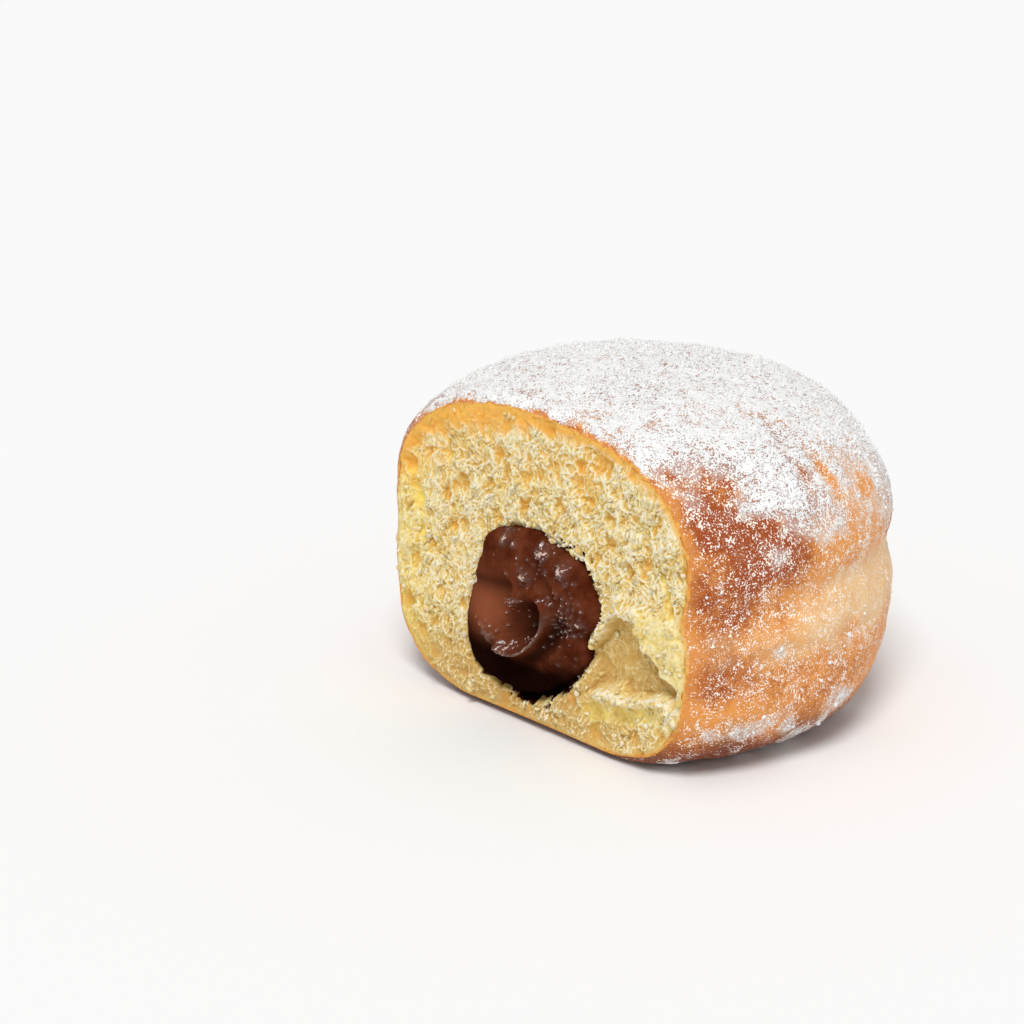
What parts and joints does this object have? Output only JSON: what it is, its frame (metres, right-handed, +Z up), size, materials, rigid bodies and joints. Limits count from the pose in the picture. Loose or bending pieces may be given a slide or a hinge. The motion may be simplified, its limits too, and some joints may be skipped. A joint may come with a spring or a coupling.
{
  "type": "chocolate filled doughnut piece",
  "caption": "Dusted filled doughnut with its front sliced off, showing airy crumb and a glossy chocolate cream centre with a piped curl.",
  "frame": {"origin": "on the surface that the doughnut rests on, under the middle of the whole doughnut", "axes": "+Z up, the cut faces -Y, +X to the right when the cut is looked at"},
  "size_m": [0.0801, 0.0656, 0.0545],
  "materials": {
    "dough": "dry fried crust and open crumb, dusted with icing sugar",
    "chocolate": "glossy soft cream"
  },
  "bodies": {
    "root": {"dough": "dough", "chocolate_filling": "chocolate"}
  },
  "joints": []
}
